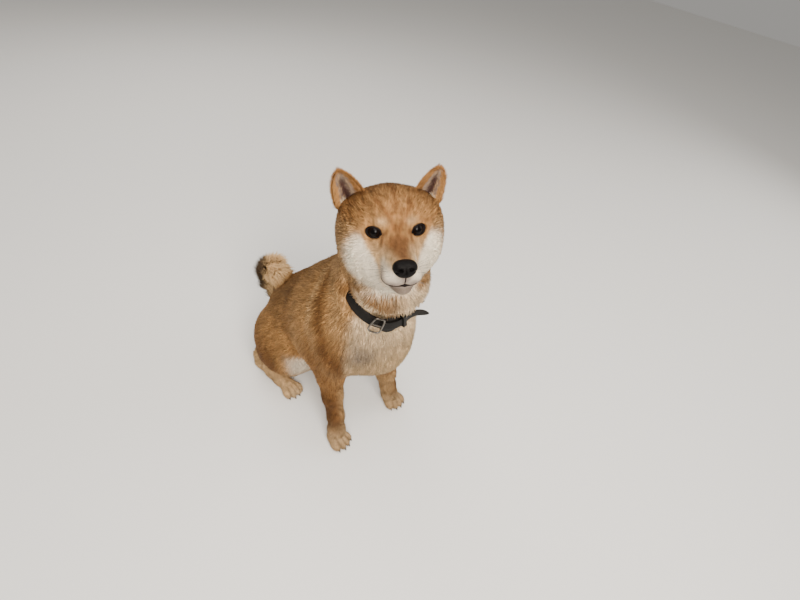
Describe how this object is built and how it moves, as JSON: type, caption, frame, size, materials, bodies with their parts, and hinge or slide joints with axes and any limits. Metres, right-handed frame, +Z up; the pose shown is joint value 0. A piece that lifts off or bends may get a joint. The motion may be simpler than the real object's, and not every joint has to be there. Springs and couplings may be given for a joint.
{
  "type": "sitting shiba inu dog with a leather collar",
  "caption": "Life-size shiba inu dog sitting upright with its head turned to its right and its tail curled, wearing a buckled leather collar.",
  "frame": {"origin": "on the floor, below the middle of the animal's bounding box", "axes": "+Z up, -Y forward along the body, +X to the dog's left"},
  "size_m": [0.2378, 0.418, 0.5871],
  "materials": {
    "red_coat": "red-tan coat of short dense hair, shading to cream below",
    "cream_coat": "cream coat of short hair on the feet",
    "eye": "wet, very dark brown",
    "nose_leather": "black, finely pebbled and slightly moist",
    "claw": "dark horn",
    "collar_leather": "black-brown strap leather, worn at the edges",
    "nickel_fitting": "nickel plate, lightly worn"
  },
  "bodies": {
    "root": {"claw_fore_left_1": "claw", "claw_fore_left_2": "claw", "claw_fore_left_3": "claw", "claw_fore_left_4": "claw", "claw_fore_right_1": "claw", "claw_fore_right_2": "claw", "claw_fore_right_3": "claw", "claw_fore_right_4": "claw", "claw_hind_left_1": "claw", "claw_hind_left_2": "claw", "claw_hind_left_3": "claw", "claw_hind_left_4": "claw", "claw_hind_right_1": "claw", "claw_hind_right_2": "claw", "claw_hind_right_3": "claw", "claw_hind_right_4": "claw", "collar_buckle": "nickel_fitting", "collar_keeper": "collar_leather", "collar_pad": "collar_leather", "collar_prong": "nickel_fitting", "collar_ring": "nickel_fitting", "collar_strap": "collar_leather", "collar_tongue": "collar_leather", "ear_left": "red_coat", "ear_right": "red_coat", "eye_left": "eye", "eye_right": "eye", "foreleg_left": "red_coat", "foreleg_right": "red_coat", "forepaw_left": "cream_coat", "forepaw_right": "cream_coat", "head": "red_coat", "hindleg_left": "red_coat", "hindleg_right": "red_coat", "hindpaw_left": "cream_coat", "hindpaw_right": "cream_coat", "neck": "red_coat", "nose": "nose_leather", "tail_base": "red_coat", "tail_middle": "red_coat", "tail_tip": "red_coat", "thigh_left": "red_coat", "thigh_right": "red_coat", "torso": "red_coat"}
  },
  "joints": []
}
